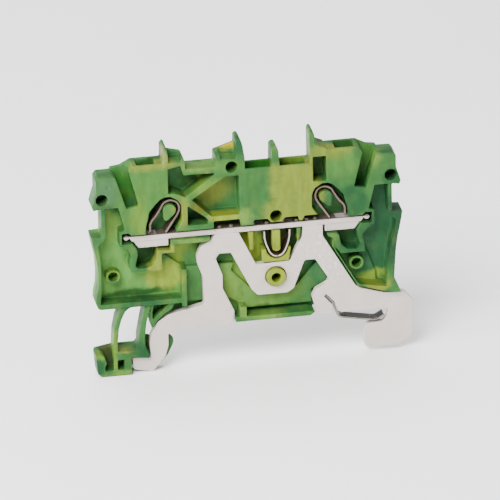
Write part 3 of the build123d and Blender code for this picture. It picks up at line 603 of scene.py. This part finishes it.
# Small collars stand on the bar, in the dark gap under the housing's ribs; standing above the bar's shade
# height, they take its painted shade
BAR_TOP = 16.95
COLLAR_Y = 1.2
COLLAR_R = 0.34
COLLAR_HEIGHT = 0.34
COLLAR_ROOT = 0.2
collars = [post((x, COLLAR_Y), COLLAR_R, BAR_TOP - COLLAR_ROOT, BAR_TOP + COLLAR_HEIGHT)
           for x in (-4.1, -2.3, 1.05, 3.15, 5.65, 7.75, 9.3, 10.6)]
bar_mesh = soften(fuse([cad_copy("current_bar")] + collars), BAR_EDGE)
finish_piece(bar_mesh, "current_bar_dressed", BAR, ["current_bar"], "housing")
for side in ("left", "right"):
    collar_mesh = soften(cad_copy(f"{side}_wire_collar"), BAR_EDGE)
    finish_piece(collar_mesh, f"{side}_wire_collar_dressed", BAR,
                 [f"{side}_wire_collar"], "housing")

# ------------------------------------------------------------------ springs, each one bent strip
# A strip is drawn as a line of (X, Z) points; the clamps and the contacts are mirrored pairs.
# The clamps' mirror plane lies this far to the right of the block's middle
LOOP_SHIFT = 0.2
CLAMP = [(12.65, 17.05), (11.65, 18.6), (10.75, 20.0), (10.45, 20.95), (10.86, 21.94), (11.85, 22.35),
         (12.85, 21.93), (13.3, 21.2), (14.05, 19.98), (14.72, 19.2), (15.0, 18.5), (14.98, 17.9),
         (15.05, 17.3)]
CLAMP_THICKNESS = 0.42
CLAMP_DEPTH = (0.7, 2.8)
CLAMP_EDGE = 0.11
CLAMP_BEND_X = (0.0127, 0.0136)
CLAMP_BEND_Z = 0.0213
for side, sign in (("left", -1), ("right", 1)):
    line = [(sign * x + LOOP_SHIFT, z) for x, z in CLAMP]
    bend = [(sign * x + LOOP_SHIFT * MM, 0, CLAMP_BEND_Z) for x in CLAMP_BEND_X]
    finish_piece(soften(strip(line, CLAMP_THICKNESS, *CLAMP_DEPTH), CLAMP_EDGE), f"{side}_clamp_strip",
                 SPRING, [f"{side}_clamp_spring", f"{side}_clamp_leg"],
                 ("housing", f"{side}_clamp_leg", *bend))

CONTACT = [(4.65, 11.5), (5.28, 11.7), (5.75, 12.2), (5.98, 12.7), (6.32, 13.6), (6.55, 14.6),
           (6.58, 15.3), (6.6, 15.85)]
MIDDLE_X = 4.65
CONTACT_THICKNESS = 0.30
CONTACT_DEPTH = (0.75, 2.7)
CONTACT_EDGE = 0.07
CONTACT_BEND = ((0.0046, 0, 0.0122), (0.0046, 0, 0.0132))
for side, sign, nodes in (("left", -1, ["left_contact_leg"]),
                          ("right", 1, ["contact_spring", "right_contact_leg"])):
    line = [(MIDDLE_X + sign * (x - MIDDLE_X), z) for x, z in CONTACT]
    finish_piece(soften(strip(line, CONTACT_THICKNESS, *CONTACT_DEPTH), CONTACT_EDGE),
                 f"{side}_contact_strip", SMALL_SPRING, nodes,
                 ("housing", f"{side}_contact_leg", *CONTACT_BEND))

RAIL = [(11.95, 4.2), (13.1, 2.85), (13.45, 1.9), (13.6, 1.3), (14.1, 0.5), (15.5, 0.16), (18.0, -0.3),
        (19.6, -0.55), (20.4, -0.2), (20.9, 0.15)]
RAIL_THICKNESS = 0.30
RAIL_DEPTH = (0.85, 2.8)
RAIL_EDGE = 0.06
RAIL_BEND = ((0.0135, 0, 0.0022), (0.0136, 0, 0.0012))
finish_piece(soften(strip(RAIL, RAIL_THICKNESS, *RAIL_DEPTH), RAIL_EDGE), "rail_leaf_strip",
             LEAF_SPRING, ["rail_spring_root", "rail_spring_leaf"],
             ("housing", "rail_spring_leaf", *RAIL_BEND))

# ------------------------------------------------------------------ floor, light and camera
FLOOR_Z = cad_low[2]
FLOOR_HALF = 3
floor_mesh = bpy.data.meshes.new("floor")
corners = [(x * FLOOR_HALF, y * FLOOR_HALF, FLOOR_Z) for x, y in ((-1, -1), (1, -1), (1, 1), (-1, 1))]
floor_mesh.from_pydata(corners, [], [(0, 1, 2, 3)])
floor = link(floor_mesh, "floor")
floor_shader = Shader("pale_floor")
floor_tone = floor_shader.ramp(floor_shader.noise(0.02, 2.0).outputs["Fac"], 0.3, 0.7)
floor_colour = floor_shader.mix(floor_tone, (0.91, 0.91, 0.91), (0.89, 0.89, 0.89))
floor.data.materials.append(floor_shader.finish(floor_colour, 0.75, 0.85, 0.05, 0.5, 0.01))

world = bpy.data.worlds.new("studio")
scene.world = world
world.use_nodes = True
background = world.node_tree.nodes["Background"]
background.inputs["Color"].default_value = (1, 1, 1, 1)
background.inputs["Strength"].default_value = 0.62


def area_light(name, place, size, power, target=(0, 0, 0.013)):
    """A round soft light that shines at the block's middle; sizes in metres, power in watts."""
    data = bpy.data.lights.new(name, "AREA")
    data.shape = "DISK"
    data.size = size
    data.energy = power
    lamp = bpy.data.objects.new(name, data)
    scene.collection.objects.link(lamp)
    lamp.location = place
    lamp.rotation_euler = (Vector(target) - Vector(place)).to_track_quat("-Z", "Y").to_euler()


area_light("key", (-0.25, -0.35, 0.45), 0.35, 9.2)
area_light("left_fill", (-0.5, -0.15, 0.2), 0.30, 3.0)
area_light("overhead", (0.0, 0.4, 0.8), 0.70, 7.0)

# The block is seen from a little to the left of its open side and from above
AZIMUTH = math.radians(-9.5035)
ELEVATION = math.radians(24.0487)
ROLL = math.radians(-1.2921)
TARGET = (0.00033, 0, 0.01326)
DISTANCE = 2.5
VIEW_WIDTH = 75.7576 * MM
SENSOR = 36
camera_data = bpy.data.cameras.new("camera")
camera_data.sensor_width = SENSOR
camera_data.lens = SENSOR * DISTANCE / VIEW_WIDTH
camera_data.clip_start = DISTANCE / 25
camera_data.clip_end = DISTANCE * 8
camera = bpy.data.objects.new("camera", camera_data)
scene.collection.objects.link(camera)
turned = Matrix.Rotation(AZIMUTH, 4, "Z")
raised = Matrix.Rotation(math.pi / 2 - ELEVATION, 4, "X")
rolled = Matrix.Rotation(ROLL, 4, "Z")
stepped_back = Matrix.Translation((0, 0, DISTANCE))
camera.matrix_world = Matrix.Translation(TARGET) @ turned @ raised @ rolled @ stepped_back
scene.camera = camera
